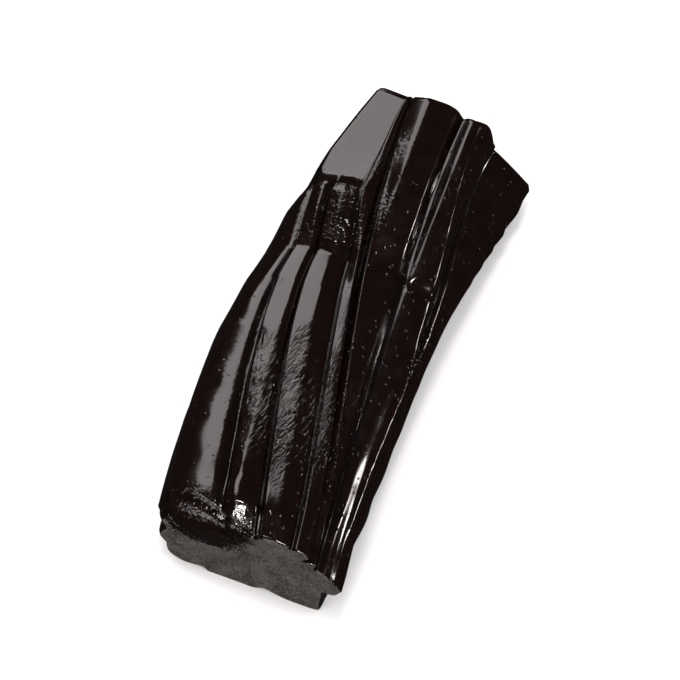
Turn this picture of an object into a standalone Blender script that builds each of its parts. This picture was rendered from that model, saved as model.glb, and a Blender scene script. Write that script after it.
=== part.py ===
"""A short cut length of soft black licorice, fluted along its length and slightly twisted and bent.

Metres, +Z up. The piece lies along +Y on its underside, its origin under the middle of it.
A cross-section is a flat oval with valleys pressed into it. The valleys wander round the oval
from the near end to the far end, which is the twist. Angles go round a section from +X over the top.
"""
import math
from collections import namedtuple

import bmesh
import bpy
import numpy as np

MM = 0.001

# Outer sizes
PIECE_LENGTH = 45.0 * MM
HALF_WIDTH_NEAR = 8.3 * MM
HALF_WIDTH_FAR = 7.2 * MM
HALF_HEIGHT_NEAR = 5.25 * MM
HALF_HEIGHT_FAR = 4.9 * MM

# How square the oval is: 2 is an ellipse, more is squarer. The underside sagged flatter.
SQUARENESS_LEFT = 3.3
SQUARENESS_RIGHT = 2.5
SQUARENESS_BELOW = 2.2

# The middle is a little wider than the ends, and its middle line bows towards -X
BELLY = 0.75 * MM
BOW = 1.95 * MM

# The flutes turn slowly at first and faster later, and their depths change later still
TWIST_EASE = 1.5
DEPTH_EASE = 2.6

# The lowest ridges are pressed flat against what the piece lies on
REST_DEPTH = 0.70 * MM

# The cut ends: how far they lean, how far the far one is turned, and how round their edges are
NEAR_LEAN_DEG = 2.0
FAR_LEAN_DEG = -2.0
FAR_TURN_DEG = -6.0
LEAN_REACH = 9.0 * MM
NEAR_EDGE_ROUND = 0.30 * MM
ROLLED_EDGE_ROUND = 1.10 * MM
ROLLED_EDGE_DEG = 128.0
ROLLED_EDGE_SPREAD_DEG = 30.0
FAR_EDGE_ROUND = 0.22 * MM
CUT_DISH = 0.25 * MM

# Slow swelling along the length
SWELL = 0.010
SWELL_WAVES = 2.5

# Mesh density
POINTS_PER_RIDGE = 8
POINT_CROWDING = 0.10
BODY_RINGS = 43
FAR_CLEAR_SHARE = 0.4
EDGE_STEPS = 3
EDGE_FIRST_STEP = 0.5
CAP_RING_SHARE = 0.55
CAP_RING_DISH_SHARE = 0.6

# How full the rounding of a ridge is: 2 is a plain arch, more is fuller
DOME_FULLNESS = 2.4

# A valley runs from near_deg at the near end to far_deg at the far end. Its depths are shares of
# the oval's radius there. back_deg and front_deg say how far its two sides reach at the near end,
# and far_spread how many times further at the far end.
Valley = namedtuple("Valley", "near_deg far_deg near_depth far_depth back_deg front_deg far_spread")
VALLEYS = (
    Valley(32, 80, near_depth=0.05, far_depth=0.25, back_deg=10, front_deg=9, far_spread=1.3),
    Valley(45, 120, near_depth=0.15, far_depth=0.17, back_deg=9, front_deg=6, far_spread=1.0),
    Valley(60, 132, near_depth=0.05, far_depth=0.02, back_deg=8, front_deg=7, far_spread=1.0),
    Valley(82, 182, near_depth=0.12, far_depth=0.07, back_deg=9, front_deg=7, far_spread=1.0),
    Valley(106, 198, near_depth=0.08, far_depth=0.08, back_deg=8, front_deg=8, far_spread=1.0),
    Valley(144, 216, near_depth=0.07, far_depth=0.11, back_deg=12, front_deg=12, far_spread=1.0),
    Valley(175, 236, near_depth=0.04, far_depth=0.10, back_deg=12, front_deg=12, far_spread=1.0),
    Valley(207, 256, near_depth=0.06, far_depth=0.12, back_deg=11, front_deg=11, far_spread=1.0),
    Valley(238, 282, near_depth=0.12, far_depth=0.11, back_deg=8, front_deg=9, far_spread=1.0),
    Valley(281, 306, near_depth=0.15, far_depth=0.12, back_deg=15, front_deg=14, far_spread=1.0),
    Valley(346, 394, near_depth=0.18, far_depth=0.42, back_deg=14, front_deg=6, far_spread=3.2),
)

# Lift of the ridge that follows each valley, near and far, and how far its crest leans forward
Ridge = namedtuple("Ridge", "near_lift far_lift crest")
RIDGES = (
    Ridge(near_lift=0.03, far_lift=0.12, crest=0.60),
    Ridge(near_lift=0.07, far_lift=0.02, crest=0.50),
    Ridge(near_lift=0.06, far_lift=0.02, crest=0.50),
    Ridge(near_lift=0.02, far_lift=0.03, crest=0.50),
    Ridge(near_lift=0.04, far_lift=0.03, crest=0.40),
    Ridge(near_lift=0.04, far_lift=0.02, crest=0.50),
    Ridge(near_lift=0.00, far_lift=0.02, crest=0.50),
    Ridge(near_lift=0.03, far_lift=0.02, crest=0.50),
    Ridge(near_lift=0.07, far_lift=0.03, crest=0.50),
    Ridge(near_lift=-0.02, far_lift=0.22, crest=0.36),
    Ridge(near_lift=0.02, far_lift=0.03, crest=0.60),
)


def blend(near, far, share):
    return near + (far - near) * share


def valley_slope(reach_share):
    """How much of a valley's depth is left at a share of its reach: all at 0, none at 1."""
    left = max(0.0, 1.0 - reach_share)
    return left * left * (3.0 - 2.0 * left) * 0.5 + left * 0.5


def ridge_dome(share, crest):
    """A rounded rise between two valleys, highest at its crest."""
    if share < crest:
        from_crest = (crest - share) / crest
    else:
        from_crest = (share - crest) / (1.0 - crest)
    return 1.0 - from_crest ** DOME_FULLNESS


def oval_radius(angle):
    """Radius of the squarish oval at an angle, as a share of its half width and half height."""
    rightness = 0.5 + 0.5 * math.cos(angle)
    power = blend(SQUARENESS_LEFT, SQUARENESS_RIGHT, rightness)
    power += SQUARENESS_BELOW * max(0.0, -math.sin(angle))
    side = abs(math.cos(angle)) ** power
    top = abs(math.sin(angle)) ** power
    return (side + top) ** (-1.0 / power)


def section(station):
    """One closed loop of (x, z) round the middle line, at a station from 0 (near) to 1 (far)."""
    turn = station ** TWIST_EASE
    deepen = station ** DEPTH_EASE
    half_width = blend(HALF_WIDTH_NEAR, HALF_WIDTH_FAR, station) + BELLY * math.sin(math.pi * station)
    half_height = blend(HALF_HEIGHT_NEAR, HALF_HEIGHT_FAR, station)
    swell = 1.0 + SWELL * math.sin(2.0 * math.pi * SWELL_WAVES * station)
    loop = []
    for index, valley in enumerate(VALLEYS):
        following = VALLEYS[(index + 1) % len(VALLEYS)]
        start = blend(valley.near_deg, valley.far_deg, turn)
        end = blend(following.near_deg, following.far_deg, turn)
        end += 360.0 if index == len(VALLEYS) - 1 else 0.0
        start_depth = blend(valley.near_depth, valley.far_depth, deepen)
        end_depth = blend(following.near_depth, following.far_depth, deepen)
        start_reach = valley.front_deg * blend(1.0, valley.far_spread, deepen)
        end_reach = following.back_deg * blend(1.0, following.far_spread, deepen)
        ridge = RIDGES[index]
        lift = blend(ridge.near_lift, ridge.far_lift, deepen)
        for step in range(POINTS_PER_RIDGE):
            even = step / POINTS_PER_RIDGE
            # Points crowd towards the valleys, where the surface turns most
            share = even - POINT_CROWDING * math.sin(2.0 * math.pi * even)
            degrees = blend(start, end, share)
            depth = start_depth * valley_slope((degrees - start) / start_reach)
            depth += end_depth * valley_slope((end - degrees) / end_reach)
            angle = math.radians(degrees)
            radius = oval_radius(angle) * swell
            radius *= 1.0 - depth + lift * ridge_dome(share, ridge.crest)
            loop.append((half_width * radius * math.cos(angle), half_height * radius * math.sin(angle)))
    return loop


def edge_round(loop, size, rolled):
    """How round the end's edge is at each point of the loop. Rolled adds the dragged-over corner."""
    rounds = []
    for x, z in loop:
        degrees = math.degrees(math.atan2(z, x))
        off = (degrees - ROLLED_EDGE_DEG + 180.0) % 360.0 - 180.0
        near_corner = math.exp(-((off / ROLLED_EDGE_SPREAD_DEG) ** 2))
        rounds.append(blend(size, rolled, near_corner))
    return rounds


def ring(station, inset=None, set_back=None):
    """A loop of points in space. inset shrinks it, and set_back moves it in from its end."""
    loop = section(station)
    along = (station - 0.5) * PIECE_LENGTH
    bow = -BOW * (1.0 - (2.0 * station - 1.0) ** 2)
    points = []
    for index, (x, z) in enumerate(loop):
        distance = math.hypot(x, z)
        shrink = 1.0 - (inset[index] / distance if inset else 0.0)
        back = set_back[index] if set_back else 0.0
        x, z = x * shrink, z * shrink
        from_near = along + PIECE_LENGTH / 2.0
        from_far = PIECE_LENGTH / 2.0 - along
        near_share = max(0.0, 1.0 - from_near / LEAN_REACH)
        far_share = max(0.0, 1.0 - from_far / LEAN_REACH)
        lean = math.tan(math.radians(NEAR_LEAN_DEG)) * near_share
        lean += math.tan(math.radians(FAR_LEAN_DEG)) * far_share
        turned = math.tan(math.radians(FAR_TURN_DEG)) * far_share
        y = along + lean * z + turned * x + back * (1.0 if station < 0.5 else -1.0)
        points.append((x + bow, y, z))
    return points


def end_rings(station, size, rolled):
    """The rings of one rounded edge, from the flank to the cut face."""
    rounds = edge_round(section(station), size, rolled)
    rings = []
    for step in range(EDGE_STEPS):
        angle = 0.5 * math.pi * (step + EDGE_FIRST_STEP) / EDGE_STEPS
        inset = [r * (1.0 - math.cos(angle)) for r in rounds]
        set_back = [r * (1.0 - math.sin(angle)) for r in rounds]
        rings.append(ring(station, inset, set_back))
    return rings


def cap_points(rim, dish):
    """An inner ring and a middle point of a cut face. dish moves the middle in."""
    rim = np.array(rim)
    middle = rim.mean(axis=0)
    inner = middle + (rim - middle) * CAP_RING_SHARE
    inner[:, 1] += dish * CAP_RING_DISH_SHARE
    middle[1] += dish
    return inner, middle


def press_flat(points):
    """The lowest ridges end in flats on one level, which then becomes the ground."""
    level = points[:, 2].min() + REST_DEPTH
    points[:, 2] = np.maximum(points[:, 2], level)
    points[:, 2] -= level
    return points


def build_piece():
    near_edge = end_rings(0.0, NEAR_EDGE_ROUND, ROLLED_EDGE_ROUND)
    far_edge = end_rings(1.0, FAR_EDGE_ROUND, FAR_EDGE_ROUND)
    clear = ROLLED_EDGE_ROUND / PIECE_LENGTH
    stations = np.linspace(clear, 1.0 - clear * FAR_CLEAR_SHARE, BODY_RINGS)
    rings = near_edge[::-1]
    rings += [ring(float(station)) for station in stations]
    rings += far_edge
    count = len(rings[0])
    near_inner, near_middle = cap_points(rings[0], CUT_DISH)
    far_inner, far_middle = cap_points(rings[-1], -CUT_DISH)
    rings = [near_inner] + rings + [far_inner]
    points = np.vstack([np.array(loop) for loop in rings] + [[near_middle], [far_middle]])
    points = press_flat(points)
    low = points.min(axis=0)
    high = points.max(axis=0)
    points[:, 0] -= (low[0] + high[0]) / 2.0
    points[:, 1] -= (low[1] + high[1]) / 2.0

    faces = []
    for row in range(len(rings) - 1):
        for column in range(count):
            beside = (column + 1) % count
            a = row * count + column
            b = row * count + beside
            faces.append((a, b, b + count, a + count))
    near_tip = len(rings) * count
    far_tip = near_tip + 1
    last = (len(rings) - 1) * count
    for column in range(count):
        beside = (column + 1) % count
        faces.append((near_tip, beside, column))
        faces.append((far_tip, last + column, last + beside))

    mesh = bpy.data.meshes.new("licorice_piece")
    mesh.from_pydata([tuple(p) for p in points], [], faces)
    work = bmesh.new()
    work.from_mesh(mesh)
    bmesh.ops.recalc_face_normals(work, faces=work.faces)
    bmesh.ops.triangulate(work, faces=work.faces)
    work.to_mesh(mesh)
    work.free()
    return bpy.data.objects.new("licorice_piece", mesh)


def licorice_material():
    material = bpy.data.materials.new("black_licorice")
    material.use_nodes = True
    shader = material.node_tree.nodes["Principled BSDF"]
    shader.inputs["Base Color"].default_value = (0.012, 0.006, 0.005, 1.0)
    shader.inputs["Roughness"].default_value = 0.18
    shader.inputs["Metallic"].default_value = 0.0
    return material


for old in list(bpy.data.objects):
    bpy.data.objects.remove(old)

piece = build_piece()
piece.data.materials.append(licorice_material())
bpy.context.scene.collection.objects.link(piece)
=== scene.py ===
import math

import bmesh
import bpy
import numpy as np
from mathutils import Matrix, Vector, noise


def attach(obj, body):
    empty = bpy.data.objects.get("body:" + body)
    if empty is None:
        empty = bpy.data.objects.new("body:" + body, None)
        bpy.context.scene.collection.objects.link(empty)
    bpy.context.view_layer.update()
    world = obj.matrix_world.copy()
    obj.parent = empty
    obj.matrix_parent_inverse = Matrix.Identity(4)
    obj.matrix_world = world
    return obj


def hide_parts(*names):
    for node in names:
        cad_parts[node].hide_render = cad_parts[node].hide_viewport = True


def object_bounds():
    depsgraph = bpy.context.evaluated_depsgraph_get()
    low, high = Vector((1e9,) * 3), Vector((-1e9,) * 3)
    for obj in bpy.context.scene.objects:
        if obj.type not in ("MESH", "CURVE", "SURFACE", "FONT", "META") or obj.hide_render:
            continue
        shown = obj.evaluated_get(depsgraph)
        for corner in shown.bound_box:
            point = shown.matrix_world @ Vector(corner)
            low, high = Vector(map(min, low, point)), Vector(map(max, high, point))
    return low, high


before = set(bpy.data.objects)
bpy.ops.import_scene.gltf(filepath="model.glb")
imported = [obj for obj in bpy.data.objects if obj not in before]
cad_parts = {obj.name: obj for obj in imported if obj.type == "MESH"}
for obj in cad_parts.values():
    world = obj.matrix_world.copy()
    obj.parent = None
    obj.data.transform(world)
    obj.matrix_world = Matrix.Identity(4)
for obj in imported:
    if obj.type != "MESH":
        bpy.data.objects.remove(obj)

cadLow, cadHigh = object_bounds()  # the box the piece has to stay in
print("cad frame loaded, box", [round(v * 1000, 2) for v in cadHigh - cadLow], "mm")

mm = 0.001


def toLinear(hexColour):
    values = [int(hexColour[i:i + 2], 16) / 255 for i in (1, 3, 5)]
    return [v / 12.92 if v <= 0.04045 else ((v + 0.055) / 1.055) ** 2.4 for v in values] + [1.0]


def addNode(tree, kind, settings=None, inputs=None, links=None):
    node = tree.nodes.new(kind)
    for name, value in (settings or {}).items():
        setattr(node, name, value)
    for name, value in (inputs or {}).items():
        node.inputs[name].default_value = value
    for name, source in (links or {}).items():
        tree.links.new(source, node.inputs[name])
    return node


def deselectAll():
    for thing in bpy.context.selected_objects:
        thing.select_set(False)


def blend(near, far, share):
    return near + (far - near) * share


def smooth(value, low, high):
    t = np.clip((value - low) / (high - low), 0.0, 1.0)
    return t * t * (3.0 - 2.0 * t)


def bell(value, middle, width):
    return np.exp(-((value - middle) / width) ** 2)


# the licorice piece: sizes in metres, angles in degrees round the section from +X over the top

licorice = {
    "length": 45.0 * mm,
    "halfWidth": (8.3 * mm, 7.2 * mm),  # near end, far end
    "halfHeight": (5.25 * mm, 4.9 * mm),
    "squareLeft": (3.3, 2.5),  # how square the section's corners are: 2 is an ellipse
    "squareRight": 2.5,
    "squareBelow": 2.2,  # the underside sagged flatter
    "belly": 0.75 * mm,
    "bow": 1.95 * mm,  # the middle bends towards -X
    "restDepth": 0.70 * mm,  # how far the lowest ridges are pressed flat
    "leanReach": 9.0 * mm,  # the skin follows the slant of each cut this far
    "nearLean": math.radians(-3.0),
    "farLean": math.radians(-2.0),
    "farTurn": math.radians(-6.0),
    "pointsPerRidge": 24,
    "cutsAlong": (18, 16),  # two subdivisions of the long edges
    "endRings": 8,
    "capRings": 14,
    "nearRound": 0.22 * mm,
    "rolledRound": 2.70 * mm,  # the knife dragged the skin over this corner
    "rolledAt": 137.0,
    "rolledSpread": 33.0,
    # the skin dragged over the cut: its middle to the right and up from the cut's middle, its reach both ways
    "skinOverCut": (-4.4 * mm, 4.4 * mm, 4.8 * mm, 4.6 * mm),
    "skinOverCutEdge": (0.6, 1.3),
    "cutStarts": (0.45, 0.95),  # shares of the rounded edge where the skin gives way to the cut
    "farRound": 0.45 * mm,
    # two ridges stand out at the far cut: angle, spread, length
    "farBulges": ((92, 13, 0.45 * mm), (61, 10, 0.60 * mm)),
    "cutDish": 0.12 * mm,
    "crowding": 0.10,  # points gather near the valleys
    "lastCrowding": -0.04,  # and at the crest of the last ridge, the widest
    "crestEdge": 70.0,  # how sharp the crests are
    "lateChange": (0.58, 0.86),  # stations where the late ridges change over to their far shape
    "lateRidges": (0, 1, 2),
    # near and far angle, near and far floor, reach back and ahead, how late the floor and the turn come
    "valleys": (
        (34, 80, -0.16, -0.14, 3.5, 7, 2.6, 1.5),
        (49, 122, -0.18, -0.17, 3, 3, 2.6, 1.4),
        (63, 131, -0.01, -0.02, 2, 3, 2.6, 1.5),
        (84, 141, -0.07, -0.07, 2, 3, 2.6, 1.1),
        (108, 153, -0.07, -0.08, 4, 5, 2.6, 1.1),
        (154, 216, 0.00, -0.11, 10, 10, 2.6, 1.5),
        (178, 236, -0.04, -0.10, 12, 12, 2.6, 1.5),
        (207, 256, -0.06, -0.12, 11, 11, 2.6, 1.5),
        (238, 282, -0.12, -0.11, 8, 9, 2.6, 1.5),
        (281, 306, -0.15, -0.12, 15, 14, 2.6, 1.5),
        (346, 396, -0.19, -0.45, 4, 4, 4.0, 0.8),
    ),
    # each ridge at the near end, at the middle station and at the far end: its level after its valley,
    # at its crest and before the next valley, the crest's place, and roundness
    "middleStation": 0.54,
    "ridges": (
        ((-0.15, -0.12, -0.14, 0.50, 1.0), (-0.15, -0.10, -0.13, 0.87, 1.0), (-0.03, 0.10, -0.02, 0.63, 0.8)),
        ((0.00, 0.05, 0.02, 0.50, 1.0), (0.035, 0.038, 0.034, 0.45, 1.0), (-0.06, -0.02, -0.02, 0.50, 1.0)),
        ((0.02, 0.075, 0.04, 0.55, 1.5), (0.02, 0.075, 0.05, 0.45, 1.4), (-0.02, 0.03, 0.00, 0.50, 1.0)),
        ((0.00, 0.05, -0.05, 0.70, 1.0), (0.01, 0.04, 0.04, 0.15, 1.0), (0.00, 0.03, 0.00, 0.50, 1.0)),
        ((-0.02, 0.04, 0.05, 0.50, 1.0), (-0.02, 0.04, 0.04, 0.50, 1.0), (0.00, 0.03, 0.00, 0.50, 1.0)),
        ((0.02, 0.04, 0.00, 0.50, 1.0), (0.02, 0.04, 0.00, 0.50, 1.0), (0.00, 0.02, 0.00, 0.50, 1.0)),
        ((0.00, 0.00, 0.00, 0.50, 1.0), (0.00, 0.00, 0.00, 0.50, 1.0), (0.00, 0.02, 0.00, 0.50, 1.0)),
        ((-0.04, -0.02, -0.04, 0.50, 1.0), (0.00, 0.02, 0.00, 0.50, 1.0), (0.00, 0.02, 0.00, 0.50, 1.0)),
        ((0.00, 0.07, 0.00, 0.50, 1.0), (0.00, 0.05, 0.00, 0.50, 1.0), (0.00, 0.03, 0.00, 0.50, 1.0)),
        ((0.00, 0.02, -0.19, 0.42, 0.0), (0.00, 0.01, -0.08, 0.80, 0.8), (0.00, 0.10, -0.39, 0.34, 0.25)),
        ((-0.08, 0.02, -0.13, 0.36, 1.0), (-0.20, 0.01, -0.10, 0.50, 1.0), (-0.35, 0.02, 0.03, 0.77, 1.0)),
    ),
    # a broad flat pressed into the upper left of the far end: from the first corner to the second,
    # then down the flank; where it begins, the first corner has another angle and the second another radius
    "farFlatAngles": (126.0, 145.0, 188.0),
    "farFlatStart": (106.0, 1.10),
    "farFlatRadii": (0.985, 1.205, 1.02),
    "farFlatEdge": 25.0,  # a softer edge than the crests have
    "farFlatStations": (0.745, 0.80),
    "farFlatRise": 2.5,  # the second corner reaches its radius this much sooner than the end
    "farFlatBorders": (1.5, 16.0),  # degrees over which the flat meets the skin at its top and its foot
    # thin raised lips: near angle, far angle, ease, height, half thickness in degrees, station where it fades
    "lips": ((41.5, 122.0, 1.35, 0.042, 1.6, 0.80), (379.0, 400.5, 1.0, 0.030, 2.4, 2.0)),
    "lipFade": 0.1,
    "nearDroop": 0.50 * mm,  # the upper skin slopes down to the near cut
    "droopReach": 8.0 * mm,
    "droopStarts": (60.0, 90.0),
    # the left of the top dips across all its flutes, then climbs to a shoulder: stations and heights
    "dipStations": (0.42, 0.54, 0.620, 0.770, 0.850, 1.0),
    "dipHeights": (0.0, -0.20 * mm, -0.72 * mm, 0.45 * mm, 0.0, 0.0),
    "dipRightBorder": (-1.0, 12.0),  # degrees from the second valley
    "dipLeftBorder": (146.0, 186.0),
    "climbLeftBorder": (136.0, 162.0),
    # a low swelling on the top near the cut
    "swellAt": (0.060, 98.0),
    "swellSize": 1.7 * mm,
    "swellHeight": 0.40 * mm,
    "pitAt": (0.623, 47.0),  # a small dent low on the right
    "pitDepth": 0.26 * mm,
    "pitSize": 0.75 * mm,
    "pitRadius": 6.64 * mm,  # how far the dent is from the middle of the section
    "lumpSize": 3.2 * mm,  # soft lumps in the whole skin
    "lumpHeight": 0.07 * mm,
    "waveSize": 1.1 * mm,  # shallow waves drawn out along the flutes
    "waveHeight": 0.018 * mm,
    "waveSpread": (8.0 * mm, 5.0 * mm),
    "waveStretch": 5.0,
    "lumpFade": (2, 6.0),  # rings of the rounded edge where the lumps start to fade, and over how many
    "girth": 48.0 * mm,
}


def valleySlope(reachShare):
    left = np.clip(1.0 - reachShare, 0.0, 1.0)
    return left * left * (3.0 - 2.0 * left) * 0.5 + left * 0.5


def ovalRadius(form, angle, station):
    power = blend(blend(*form["squareLeft"], station), form["squareRight"], 0.5 + 0.5 * np.cos(angle))
    power = power + form["squareBelow"] * np.maximum(0.0, -np.sin(angle))
    return (np.abs(np.cos(angle)) ** power + np.abs(np.sin(angle)) ** power) ** (-1.0 / power)


def lineRadius(angle, fromAngle, fromRadius, toAngle, toRadius):
    # the straight line through two points, seen from the middle
    reach = toRadius * np.sin(toAngle - angle) + fromRadius * np.sin(angle - fromAngle)
    return fromRadius * toRadius * np.sin(toAngle - fromAngle) / np.maximum(reach, 0.01)


def cornerEase(apart, sharpness):
    # how much the corner between two sides is worn off, most where they meet
    return np.log1p(np.exp(-sharpness * np.abs(apart))) / sharpness


def sectionPoint(form, turnAround, station):
    # turnAround goes 0 to 1 round the section, station 0 to 1 along the piece
    valleys = np.array(form["valleys"], float)
    ridges = np.array(form["ridges"], float)
    count = len(valleys)
    place = turnAround * count
    index = np.minimum(place.astype(int), count - 1)
    nextIndex = (index + 1) % count
    even = place - index
    crowding = np.where(index == count - 1, form["lastCrowding"], form["crowding"])
    share = even - crowding * np.sin(2 * math.pi * even)
    late = smooth(station, *form["lateChange"])
    start = blend(valleys[index, 0], valleys[index, 1], station ** valleys[index, 7])
    end = blend(valleys[nextIndex, 0], valleys[nextIndex, 1], station ** valleys[nextIndex, 7])
    end = end + 360.0 * (nextIndex == 0)
    startFloor = blend(valleys[index, 2], valleys[index, 3], station ** valleys[index, 6])
    endFloor = blend(valleys[nextIndex, 2], valleys[nextIndex, 3], station ** valleys[nextIndex, 6])
    startReach, endReach = valleys[index, 5], valleys[nextIndex, 4]
    toMiddle = np.clip(station / form["middleStation"], 0.0, 1.0)
    toFar = smooth(station, form["middleStation"], 1.0)
    toFar = np.where(np.isin(index, form["lateRidges"]), late, toFar)
    nearRidge, middleRidge, farRidge = ridges[index].transpose(1, 2, 0)
    ridge = blend(blend(nearRidge, middleRidge, toMiddle), farRidge, toFar)
    startLevel, crestLevel, endLevel, crest, roundness = ridge
    degrees = blend(start, end, share)
    angle = np.radians(degrees)
    corners = [np.radians(a) for a in (start, blend(start, end, crest), end)]
    levels = (startLevel, crestLevel, endLevel)
    radii = [ovalRadius(form, a, station) * (1.0 + level) for a, level in zip(corners, levels)]
    # two flat sides meeting at the crest, the corner eased, then rounded out towards the oval
    rightSide = lineRadius(angle, corners[0], radii[0], corners[1], radii[1])
    leftSide = lineRadius(angle, corners[1], radii[1], corners[2], radii[2])
    before = share < crest
    flat = np.where(before, rightSide, leftSide) - cornerEase(rightSide - leftSide, form["crestEdge"])
    level = np.where(before, blend(startLevel, crestLevel, share / crest),
                     blend(crestLevel, endLevel, (share - crest) / (1.0 - crest)))
    curved = ovalRadius(form, angle, station) * (1.0 + level)
    radius = blend(flat, curved, roundness)
    startPull = valleySlope((degrees - start) / startReach)
    endPull = valleySlope((end - degrees) / endReach)
    oval = ovalRadius(form, angle, station)
    radius = blend(radius, oval * (1.0 + startFloor), startPull)
    radius = blend(radius, oval * (1.0 + endFloor), endPull)
    for lipNear, lipFar, lipEase, height, thick, fades in form["lips"]:
        lipAt = blend(lipNear, lipFar, station ** lipEase)
        lipHeight = height * (1.0 - smooth(station, fades, fades + form["lipFade"]))
        radius = radius + lipHeight * bell(degrees, lipAt, thick)
    # the broad flat at the far end
    flatStart = form["farFlatStations"][0]
    toFlatEnd = np.clip((station - flatStart) / (1.0 - flatStart), 0.0, 1.0)
    firstDegrees = blend(form["farFlatStart"][0], form["farFlatAngles"][0], toFlatEnd)
    first = np.radians(firstDegrees)
    second, third = np.radians(form["farFlatAngles"][1:])
    firstRadius, secondRadius, thirdRadius = form["farFlatRadii"]
    rise = np.minimum(toFlatEnd * form["farFlatRise"], 1.0)
    secondRadius = blend(form["farFlatStart"][1], secondRadius, rise)
    topSide = lineRadius(angle, first, firstRadius, second, secondRadius)
    flankSide = lineRadius(angle, second, secondRadius, third, thirdRadius)
    flatSide = np.where(angle < second, topSide, flankSide)
    flatSide = flatSide - cornerEase(topSide - flankSide, form["farFlatEdge"])
    topBorder, footBorder = form["farFlatBorders"]
    foot = form["farFlatAngles"][2]
    inFlat = smooth(degrees, firstDegrees - topBorder, firstDegrees + topBorder)
    inFlat = inFlat * (1.0 - smooth(degrees, foot - footBorder, foot))
    radius = blend(radius, flatSide, inFlat * smooth(station, *form["farFlatStations"]))
    halfWidth = blend(*form["halfWidth"], station) + form["belly"] * np.sin(math.pi * station)
    halfHeight = blend(*form["halfHeight"], station)
    crestness = np.minimum(1.0 - startPull, 1.0 - endPull)
    return halfWidth * radius * np.cos(angle), halfHeight * radius * np.sin(angle), degrees, crestness


def makeBlank(form):
    # a plain tube, its long edges cut into enough rings to carry the flutes
    columns = form["pointsPerRidge"] * len(form["valleys"])
    deselectAll()
    bpy.ops.mesh.primitive_cylinder_add(vertices=columns, radius=1.0, depth=2.0, end_fill_type="NOTHING",
                                        rotation=(-math.pi / 2, 0, 0))
    blank = bpy.context.object
    blank.name = "licoricePiece"
    bpy.ops.object.transform_apply(location=False, rotation=True, scale=False)
    bpy.ops.object.mode_set(mode="EDIT")
    bpy.ops.mesh.select_mode(type="EDGE")
    for cuts in form["cutsAlong"]:
        bpy.ops.mesh.select_all(action="DESELECT")
        mesh = bmesh.from_edit_mesh(blank.data)
        for edge in mesh.edges:
            a, b = edge.verts
            edge.select_set(abs(a.co.y - b.co.y) > 1e-4)
        bmesh.update_edit_mesh(blank.data)
        bpy.ops.mesh.subdivide(number_cuts=cuts)
    # each end goes on ring by ring: first round its edge, then over the cut face to a closed middle
    for end in (-1.0, 1.0):
        bpy.ops.mesh.select_all(action="DESELECT")
        mesh = bmesh.from_edit_mesh(blank.data)
        for edge in mesh.edges:
            edge.select_set(edge.is_boundary and edge.verts[0].co.y * end > 0.5)
        bmesh.update_edit_mesh(blank.data)
        for step in range(form["endRings"] + form["capRings"]):
            bpy.ops.mesh.extrude_edges_move(TRANSFORM_OT_translate={"value": (0, end, 0)})
        bpy.ops.mesh.merge(type="CENTER")
    bpy.ops.mesh.select_all(action="SELECT")
    bpy.ops.mesh.normals_make_consistent(inside=False)
    bpy.ops.object.mode_set(mode="OBJECT")
    return blank


def noiseAt(points, size, seed):
    offset = Vector((seed * 17.3, seed * 5.1, seed * 9.7))
    return np.array([noise.noise(Vector(p) / size + offset) for p in points])


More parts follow.
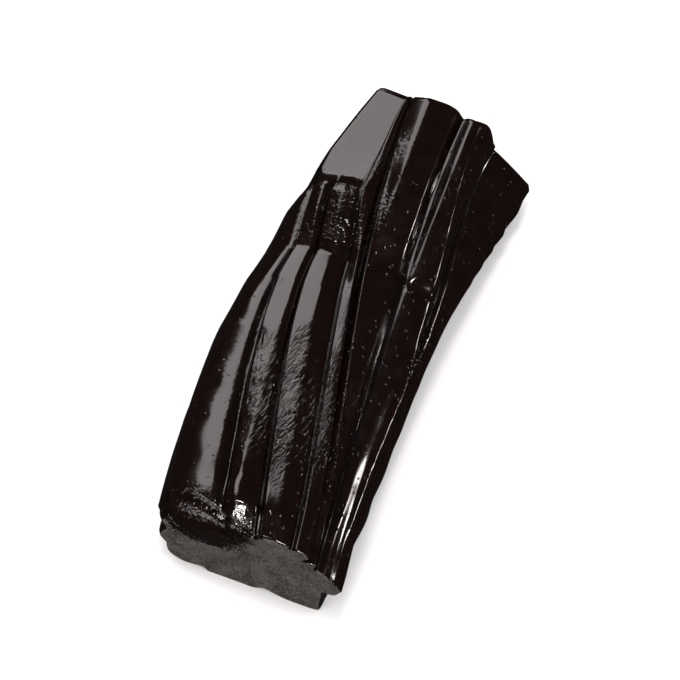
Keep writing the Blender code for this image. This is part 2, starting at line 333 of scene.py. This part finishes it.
def shapeBlank(blank, form):
    # every point of the blank moves to its place on the fluted, twisted piece
    points = np.empty(len(blank.data.vertices) * 3)
    blank.data.vertices.foreach_get("co", points)
    points = points.reshape(-1, 3)
    columns = form["pointsPerRidge"] * len(form["valleys"])
    around = np.round(np.arctan2(points[:, 2], points[:, 0]) / (2 * math.pi) * columns) / columns % 1.0
    tip = np.hypot(points[:, 0], points[:, 2]) < 0.5
    out = np.round(np.maximum(np.abs(points[:, 1]) - 1.0, 0.0))  # rings past the tube's end
    side = np.sign(points[:, 1])
    # the near edge is rolled over at one corner, so the rings of the body begin behind it there
    nearDegrees = sectionPoint(form, around, np.zeros(len(around)))[2]
    offCorner = (nearDegrees - form["rolledAt"] + 180.0) % 360.0 - 180.0
    nearSize = blend(form["nearRound"], form["rolledRound"], bell(offCorner, 0.0, form["rolledSpread"]))
    length = form["length"]
    alongTube = (np.clip(points[:, 1], -1, 1) + 1.0) / 2.0
    body = blend(nearSize / length, 1.0 - form["farRound"] / length, alongTube)
    station = np.where(out > 0, np.where(side < 0, 0.0, 1.0), body)
    x, z, degrees, crestness = sectionPoint(form, around, station)

    # rounded edge of each cut
    size = np.where(side < 0, nearSize, form["farRound"])
    edge = np.clip((out - 0.5) / form["endRings"], 0.0, 1.0) * math.pi / 2
    inset = np.where(out > 0, size * (1.0 - np.cos(edge)), 0.0)
    setBack = np.where(out > 0, size * (1.0 - np.sin(edge)), 0.0)
    shrink = 1.0 - inset / np.hypot(x, z)
    across = np.clip((out - form["endRings"]) / form["capRings"], 0.0, 1.0)
    across = np.where(tip, 1.0, across)
    x, z = x * shrink * (1.0 - across), z * shrink * (1.0 - across)
    along = (station - 0.5) * length

    # soft changes of the skin: the droop to the near cut, the dip across the left of the top, a small dent
    topness = np.clip(z / form["halfHeight"][0], 0.0, 1.0)
    fromRight = (degrees + 90.0) % 360.0 - 90.0
    nearby = np.clip(1.0 - (along + length / 2) / form["droopReach"], 0.0, 1.0)
    z = z - form["nearDroop"] * nearby ** 2 * topness * smooth(fromRight, *form["droopStarts"])
    secondValley = form["valleys"][1]
    edgeOfDip = blend(secondValley[0], secondValley[1], station ** secondValley[7])
    dip = np.interp(station, form["dipStations"], form["dipHeights"])
    pastLeft = np.where(dip < 0, smooth(fromRight, *form["dipLeftBorder"]),
                        smooth(fromRight, *form["climbLeftBorder"]))
    leftTop = (1.0 - pastLeft) * smooth(fromRight - edgeOfDip, *form["dipRightBorder"])
    inward = -dip * leftTop
    pitStation, pitDegrees = form["pitAt"]
    pitAlong = (station - pitStation) * length
    pitAcross = np.radians(pitDegrees - fromRight) * form["pitRadius"]
    pitEdge = np.exp(-(np.hypot(pitAlong, pitAcross) / form["pitSize"]) ** 4)
    inward = inward + form["pitDepth"] * pitEdge * (across < 0.01)
    swellStation, swellDegrees = form["swellAt"]
    swellAcross = np.radians(degrees - swellDegrees) * form["halfHeight"][0]
    swellOff = np.hypot((station - swellStation) * length, swellAcross)
    inward = inward - form["swellHeight"] * bell(swellOff, 0.0, form["swellSize"]) * (across < 0.01)
    radial = np.hypot(x, z) + 1e-9

    # lumps and long waves
    surface = np.stack([x, along, z], axis=1)
    lumps = noiseAt(surface, form["lumpSize"], 1)
    spreadX, spreadZ = form["waveSpread"]
    turn = np.radians(degrees)
    drawn = np.stack([np.cos(turn) * spreadX, along / form["waveStretch"], np.sin(turn) * spreadZ], axis=1)
    waves = noiseAt(drawn, form["waveSize"], 2)
    fadeRing, fadeRings = form["lumpFade"]
    skinShare = 1.0 - np.clip((out - fadeRing) / fadeRings, 0.0, 1.0)
    inward = inward - (form["lumpHeight"] * lumps + form["waveHeight"] * waves) * skinShare
    x, z = x * (1.0 - inward / radial), z * (1.0 - inward / radial)

    fromNear = np.maximum(0.0, 1.0 - (along + length / 2) / form["leanReach"])
    fromFar = np.maximum(0.0, 1.0 - (length / 2 - along) / form["leanReach"])
    lean = math.tan(form["nearLean"]) * fromNear + math.tan(form["farLean"]) * fromFar
    turned = math.tan(form["farTurn"]) * fromFar
    dish = form["cutDish"] * (1.0 - (1.0 - across) ** 2)
    y = along + lean * z + turned * x - side * (setBack + dish)
    for bulgeAt, spread, height in form["farBulges"]:
        y = y + height * bell(fromRight, bulgeAt, spread) * fromFar ** 2 * (1.0 - across)
    x = x - form["bow"] * (1.0 - (2.0 * station - 1.0) ** 2)

    # the lowest ridges are pressed flat where it lies
    level = z.min() + form["restDepth"]
    z = np.maximum(z, level) - level
    placed = np.stack([x, y, z], axis=1)
    low, high = placed.min(axis=0), placed.max(axis=0)
    boxLow, boxHigh = np.array(cadLow), np.array(cadHigh)
    fit = np.minimum((boxHigh - boxLow) / (high - low), 1.0)
    placed = (placed - (low + high) / 2) * fit + (boxLow + boxHigh) / 2
    placed[:, 2] -= placed[:, 2].min()
    blank.data.vertices.foreach_set("co", placed.ravel())
    blank.data.update()
    facts = {"around": around, "station": station, "degrees": degrees, "crestness": crestness,
             "across": across, "out": out, "side": side, "tip": tip}
    return placed, facts, fit


piece = makeBlank(licorice)
placed, facts, fit = shapeBlank(piece, licorice)
print("piece shaped,", len(piece.data.polygons), "faces, fit", fit.round(4))


def keepAttribute(piece, name, values):
    layer = piece.data.attributes.new(name, "FLOAT", "POINT")
    layer.data.foreach_set("value", np.asarray(values, np.float32))


# marks in the skin: places along are thirteenths of the length
skinZones = {
    "steps": 13.0,
    # ripples: place along and spread, degrees and spread, how far the degrees turn by the far end, strength
    "ripples": ((3.6, 1.6, 76, 30, 90, 1.0), (5.0, 2.5, 52, 8, 62, 0.5), (11.0, 1.0, 106, 8, 0, 0.6)),
    "rippleTurnEase": 1.5,
    # wrinkles in the climb to the far shoulder: where they start and end along and round, strength
    "climbAlong": ((8.1, 8.5), (9.9, 10.4)),
    "climbAround": ((80, 92), (150, 170)),
    "climbStrength": 0.4,
    # wrinkles low on the right flank: place along and spread, degrees and spread
    "flankWrinkles": (5.9, 1.2, 372, 12),
    # wrinkles along the rolled near corner
    "cornerAlong": (0.0, 0.6),
    "cornerAround": ((88, 96), (150, 170)),
    # bubbles left more pits on the right of the top than on the left
    "pitsLeft": 0.08,
    "pitsBorder": (60.0, 85.0),
}


def between(value, rise, fall):
    return smooth(value, *rise) * (1.0 - smooth(value, *fall))


def markSkin(piece, placed, facts, form, zones):
    # where the cut face, the crests and the marks in the skin are
    station, degrees, out, side = facts["station"], facts["degrees"], facts["out"], facts["side"]
    nearFace = (side < 0) & (out > 0)
    cut = smooth(out / form["endRings"], *form["cutStarts"])
    # the skin was dragged down over the upper left of the near cut
    cutX, _, cutZ = placed[facts["tip"] & (side < 0)][0]
    dragX, dragZ, dragWide, dragHigh = form["skinOverCut"]
    fromDrag = np.hypot((placed[:, 0] - cutX - dragX) / dragWide, (placed[:, 2] - cutZ - dragZ) / dragHigh)
    cut = np.where(nearFace, np.minimum(cut, smooth(fromDrag, *form["skinOverCutEdge"])), cut)
    keepAttribute(piece, "cut", np.where(out > 0, cut, 0.0))
    keepAttribute(piece, "crest", facts["crestness"])
    place = station * zones["steps"]
    rippleZone = np.zeros(len(place))
    for middle, spread, angle, angleSpread, turn, strength in zones["ripples"]:
        turned = degrees - turn * station ** zones["rippleTurnEase"]
        zone = strength * bell(place, middle, spread) * bell(turned, angle, angleSpread)
        rippleZone = np.maximum(rippleZone, zone)
    keepAttribute(piece, "ripple", rippleZone)
    climb = between(place, *zones["climbAlong"]) * between(degrees, *zones["climbAround"])
    climb = zones["climbStrength"] * climb
    middle, spread, angle, angleSpread = zones["flankWrinkles"]
    flank = bell(place, middle, spread) * bell(degrees, angle, angleSpread)
    corner = bell(place, *zones["cornerAlong"]) * between(degrees, *zones["cornerAround"])
    keepAttribute(piece, "wrinkle", np.maximum(np.maximum(climb, flank), corner))
    fromRight = (degrees + 90.0) % 360.0 - 90.0
    pitted = zones["pitsLeft"] + (1.0 - zones["pitsLeft"]) * (1.0 - smooth(fromRight, *zones["pitsBorder"]))
    keepAttribute(piece, "pits", pitted)


markSkin(piece, placed, facts, licorice, skinZones)


def unwrapSkin(piece, facts, placed, girth):
    # u runs round the section and v along it, both in metres of skin
    mesh = piece.data
    layer = mesh.uv_layers.new(name="skin")
    loops = np.empty(len(mesh.loops), int)
    mesh.loops.foreach_get("vertex_index", loops)
    around = facts["around"][loops]
    starts = np.empty(len(mesh.polygons), int)
    totals = np.empty(len(mesh.polygons), int)
    mesh.polygons.foreach_get("loop_start", starts)
    mesh.polygons.foreach_get("loop_total", totals)
    highest = np.maximum.reduceat(around, starts)
    wraps = np.repeat(highest > 0.75, totals) & (around < 0.25)  # the faces over the seam
    around = around + wraps
    uv = np.stack([around * girth, placed[loops, 1]], axis=1)
    layer.data.foreach_set("uv", uv.ravel())


unwrapSkin(piece, facts, placed, licorice["girth"])
for polygon in piece.data.polygons:
    polygon.use_smooth = True
piece.data.update()
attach(piece, "root")
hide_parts("licorice_piece")


# black licorice: boiled treacle and flour extruded through a fluted die, oiled, then cut with a knife

finish = {
    "deep": "#060302",
    "thin": "#130705",  # light gets a little way into the ridges
    "cut": "#56504b",
    "cutDark": "#2a2521",
    "skinRough": 0.10,
    "skinRoughSpan": (0.7, 1.5),
    "cutRough": 0.52,
    "ior": 1.55,
    "specular": 0.8,
    "fineGrain": 0.16 * mm,  # flour grains and pores
    "broadGrain": 1.6 * mm,
    "broadShare": 0.4,
    "dragSize": (2.2 * mm, 2.2 * mm, 0.25 * mm),  # the knife's drag lines
    "dragSlant": math.radians(12),
    "cutSpeck": 1.3,  # how far the border of the cut breaks up
    "cutBorder": (0.42, 0.60),
    "cutContrast": (0.57, 0.83),
    "grainHeight": 0.06 * mm,
    "rippleSize": (1.0 * mm, 0.30 * mm, 1.0),
    "rippleSlant": math.radians(113),
    "creaseSize": 0.40 * mm,
    "creaseHeight": 0.11 * mm,
    "bubbleSpacing": 0.75 * mm,
    "bubbleReach": (0.03, 0.20),  # the pits' floor and rim, in shares of their spacing
    "bubbleDepth": 0.12 * mm,
}


def makeLicoriceMaterial(look):
    material = bpy.data.materials.new("oiledBlackLicorice")
    material.use_nodes = True
    tree = material.node_tree
    shader = tree.nodes["Principled BSDF"]
    place = addNode(tree, "ShaderNodeTexCoord")
    skinMap = addNode(tree, "ShaderNodeUVMap", {"uv_map": "skin"})
    cut = addNode(tree, "ShaderNodeAttribute", {"attribute_name": "cut"})
    crest = addNode(tree, "ShaderNodeAttribute", {"attribute_name": "crest"})
    ripple = addNode(tree, "ShaderNodeAttribute", {"attribute_name": "ripple"})
    wrinkle = addNode(tree, "ShaderNodeAttribute", {"attribute_name": "wrinkle"})
    pitted = addNode(tree, "ShaderNodeAttribute", {"attribute_name": "pits"})
    fine = addNode(tree, "ShaderNodeTexNoise", inputs={"Scale": 1 / look["fineGrain"], "Detail": 3.0},
                   links={"Vector": place.outputs["Object"]})
    broad = addNode(tree, "ShaderNodeTexNoise", inputs={"Scale": 1 / look["broadGrain"], "Detail": 4.0},
                    links={"Vector": place.outputs["Object"]})
    # the knife left drag lines 0.25 mm apart on the cut
    dragPlace = addNode(tree, "ShaderNodeMapping", {"vector_type": "TEXTURE"},
                        {"Scale": look["dragSize"], "Rotation": (0, look["dragSlant"], 0)},
                        {"Vector": place.outputs["Object"]})
    drag = addNode(tree, "ShaderNodeTexNoise", inputs={"Scale": 1.0, "Detail": 3.0},
                   links={"Vector": dragPlace.outputs[0]})
    grain = addNode(tree, "ShaderNodeMath", {"operation": "ADD"},
                    links={0: fine.outputs["Fac"], 1: drag.outputs["Fac"]})
    # the cut mask breaks up into streaks and specks at its border
    speck = addNode(tree, "ShaderNodeMath", {"operation": "MULTIPLY_ADD"},
                    {1: look["cutSpeck"], 2: -look["cutSpeck"]}, {0: grain.outputs[0]})
    cutEdge = addNode(tree, "ShaderNodeMath", {"operation": "ADD"},
                      links={0: cut.outputs["Fac"], 1: speck.outputs[0]})
    borderLow, borderHigh = look["cutBorder"]
    cutMask = addNode(tree, "ShaderNodeMapRange", {"interpolation_type": "SMOOTHSTEP"},
                      {"From Min": borderLow, "From Max": borderHigh}, {"Value": cutEdge.outputs[0]})
    # the skin is near black, with a little red-brown on the crests where the light gets in
    tint = addNode(tree, "ShaderNodeMath", {"operation": "MULTIPLY"},
                   links={0: crest.outputs["Fac"], 1: broad.outputs["Fac"]})
    skinColour = addNode(tree, "ShaderNodeMix", {"data_type": "RGBA"},
                         {6: toLinear(look["deep"]), 7: toLinear(look["thin"])}, {0: tint.outputs[0]})
    # grains and pores 0.16 mm across show on the cut as light and dark
    shadeSum = addNode(tree, "ShaderNodeMath", {"operation": "MULTIPLY_ADD"}, {1: look["broadShare"]},
                       {0: broad.outputs["Fac"], 2: fine.outputs["Fac"]})
    darkest, palest = look["cutContrast"]
    cutShade = addNode(tree, "ShaderNodeMapRange", inputs={"From Min": darkest, "From Max": palest},
                       links={"Value": shadeSum.outputs[0]})
    cutColour = addNode(tree, "ShaderNodeMix", {"data_type": "RGBA"},
                        {6: toLinear(look["cutDark"]), 7: toLinear(look["cut"])}, {0: cutShade.outputs[0]})
    colour = addNode(tree, "ShaderNodeMix", {"data_type": "RGBA"},
                     links={0: cutMask.outputs[0], 6: skinColour.outputs[2], 7: cutColour.outputs[2]})
    tree.links.new(colour.outputs[2], shader.inputs["Base Color"])
    # the oiled skin is glossy, the cut face satin
    sleek, dull = [look["skinRough"] * span for span in look["skinRoughSpan"]]
    rough = addNode(tree, "ShaderNodeMapRange",
                    inputs={"From Min": 0.3, "From Max": 0.7, "To Min": sleek, "To Max": dull},
                    links={"Value": broad.outputs["Fac"]})
    allRough = addNode(tree, "ShaderNodeMix", {"data_type": "FLOAT"}, {3: look["cutRough"]},
                       {0: cutMask.outputs[0], 2: rough.outputs[0]})
    tree.links.new(allRough.outputs[0], shader.inputs["Roughness"])
    # slanting ripples, 1 mm long and 0.3 mm apart, and wrinkles 0.4 mm across
    stretch = addNode(tree, "ShaderNodeMapping", {"vector_type": "TEXTURE"},
                      {"Scale": look["rippleSize"], "Rotation": (0, 0, look["rippleSlant"])},
                      {"Vector": skinMap.outputs["UV"]})
    ripples = addNode(tree, "ShaderNodeTexNoise", inputs={"Scale": 1.0, "Detail": 3.0, "Distortion": 0.8},
                      links={"Vector": stretch.outputs[0]})
    rippleHeight = addNode(tree, "ShaderNodeMath", {"operation": "MULTIPLY"},
                           links={0: ripples.outputs["Fac"], 1: ripple.outputs["Fac"]})
    creases = addNode(tree, "ShaderNodeTexNoise",
                      inputs={"Scale": 1 / look["creaseSize"], "Detail": 2.0, "Distortion": 0.5},
                      links={"Vector": place.outputs["Object"]})
    skinHeight = addNode(tree, "ShaderNodeMath", {"operation": "MULTIPLY_ADD"},
                         links={0: creases.outputs["Fac"], 1: wrinkle.outputs["Fac"],
                                2: rippleHeight.outputs[0]})
    # tiny pits left by bubbles, up to 0.3 mm across
    bubbles = addNode(tree, "ShaderNodeTexVoronoi", {"feature": "F1"},
                      {"Scale": 1 / look["bubbleSpacing"], "Randomness": 1.0},
                      {"Vector": place.outputs["Object"]})
    pitBottom, pitRim = look["bubbleReach"]
    pits = addNode(tree, "ShaderNodeMapRange", {"interpolation_type": "SMOOTHSTEP"},
                   {"From Min": pitBottom, "From Max": pitRim}, {"Value": bubbles.outputs["Distance"]})
    pitHeight = addNode(tree, "ShaderNodeMath", {"operation": "MULTIPLY"},
                        links={0: pits.outputs[0], 1: pitted.outputs["Fac"]})
    skinBump = addNode(tree, "ShaderNodeBump", inputs={"Strength": 1.0, "Distance": look["creaseHeight"]},
                       links={"Height": skinHeight.outputs[0]})
    pitBump = addNode(tree, "ShaderNodeBump", inputs={"Strength": 1.0, "Distance": look["bubbleDepth"]},
                      links={"Height": pitHeight.outputs[0], "Normal": skinBump.outputs[0]})
    grainHeight = addNode(tree, "ShaderNodeMath", {"operation": "MULTIPLY"},
                          links={0: grain.outputs[0], 1: cutMask.outputs[0]})
    grainBump = addNode(tree, "ShaderNodeBump", inputs={"Strength": 0.8, "Distance": look["grainHeight"]},
                        links={"Height": grainHeight.outputs[0], "Normal": pitBump.outputs[0]})
    tree.links.new(grainBump.outputs[0], shader.inputs["Normal"])
    shader.inputs["IOR"].default_value = look["ior"]
    shader.inputs["Specular IOR Level"].default_value = look["specular"]
    return material


piece.data.materials.append(makeLicoriceMaterial(finish))
print("licorice finished")

# floor, lights, camera

studio = {
    "viewAzimuth": 22.7,
    "viewElevation": 60.0,
    "lens": 960.0,
    "distance": 1.54,
    "aim": (0.0, 0.0, 0.005),
    "panelDistance": 0.8,
    "panelColour": (1.0, 0.94, 0.93),  # a little warm
    "glossyWorld": 0.02,  # the white surroundings light the piece but hardly mirror in it
    # soft boxes: name, the two directions between which the long side runs, width in degrees, watts;
    # the fill ones stand on the camera's side for the views from behind
    "panels": (
        ("softBoxBack", (-16, 57), (-21, 15), 22.0, 1.35),
        ("keyAbove", (0, 83), (0, 94), 12.0, 2.4),
        ("edgeRight", (78, 36), (84, 33), 4.0, 0.4),
        ("fillFront", (165, 34), (200, 34), 24.0, 1.2),
        ("fillLeft", (-140, 30), (-105, 30), 24.0, 1.2),
        ("fillRight", (110, 44), (140, 40), 16.0, 0.7),
    ),
}

bpy.ops.mesh.primitive_plane_add(size=4.0, location=(0, 0, 0))
floor = bpy.context.object
floor.name = "floor"
floor.visible_glossy = False
paper = bpy.data.materials.new("whitePaper")
paper.use_nodes = True
paperShader = paper.node_tree.nodes["Principled BSDF"]
paperShader.inputs["Base Color"].default_value = (0.9, 0.9, 0.9, 1)
paperShader.inputs["Roughness"].default_value = 1.0
floor.data.materials.append(paper)


def fromCamera(azimuth, elevation):
    # azimuth 0 is straight behind the piece as the camera sees it, plus is to the right
    a = math.radians(studio["viewAzimuth"])
    rightWay = Vector((math.cos(a), math.sin(a), 0))
    awayWay = Vector((-math.sin(a), math.cos(a), 0))
    az, el = math.radians(azimuth), math.radians(elevation)
    return (rightWay * math.sin(az) + awayWay * math.cos(az)) * math.cos(el) + Vector((0, 0, math.sin(el)))


def addPanel(name, start, end, wide, watts):
    # a soft box whose long side runs between two directions
    distance = studio["panelDistance"]
    a, b = fromCamera(*start), fromCamera(*end)
    middle = (a + b).normalized()
    longSide = (b - a).normalized()
    half = a.angle(b) / 2
    across = middle.cross(longSide)
    data = bpy.data.lights.new(name, "AREA")
    data.shape = "RECTANGLE"
    data.size = 2 * distance * math.tan(half)
    data.size_y = 2 * distance * math.tan(math.radians(wide) / 2)
    data.energy = watts
    data.color = studio["panelColour"]
    lamp = bpy.data.objects.new(name, data)
    bpy.context.scene.collection.objects.link(lamp)
    lamp.location = middle * distance + Vector(studio["aim"])
    lamp.rotation_mode = "QUATERNION"
    lamp.rotation_quaternion = Matrix((longSide, across, middle)).transposed().to_quaternion()


for panel in studio["panels"]:
    addPanel(*panel)

world = bpy.data.worlds.new("studio")
bpy.context.scene.world = world
world.use_nodes = True
tree = world.node_tree
background = tree.nodes["Background"]
path = addNode(tree, "ShaderNodeLightPath")
strength = addNode(tree, "ShaderNodeMix", {"data_type": "FLOAT"}, {2: 1.0, 3: studio["glossyWorld"]},
                   {0: path.outputs["Is Glossy Ray"]})
tree.links.new(strength.outputs[0], background.inputs["Strength"])
background.inputs["Color"].default_value = (1, 1, 1, 1)

cameraData = bpy.data.cameras.new("camera")
cameraData.lens = studio["lens"]
camera = bpy.data.objects.new("camera", cameraData)
bpy.context.scene.collection.objects.link(camera)
bpy.context.scene.camera = camera
elevation = math.radians(studio["viewElevation"])
back = -fromCamera(0, 0) * math.cos(elevation) + Vector((0, 0, math.sin(elevation)))
camera.location = Vector(studio["aim"]) + back * studio["distance"]
camera.rotation_mode = "QUATERNION"
camera.rotation_quaternion = (-back).to_track_quat("-Z", "Y")
cameraData.clip_start = 0.01
cameraData.clip_end = 10
bpy.context.scene.view_settings.view_transform = "Standard"
print("studio set,", len(studio["panels"]), "soft boxes")
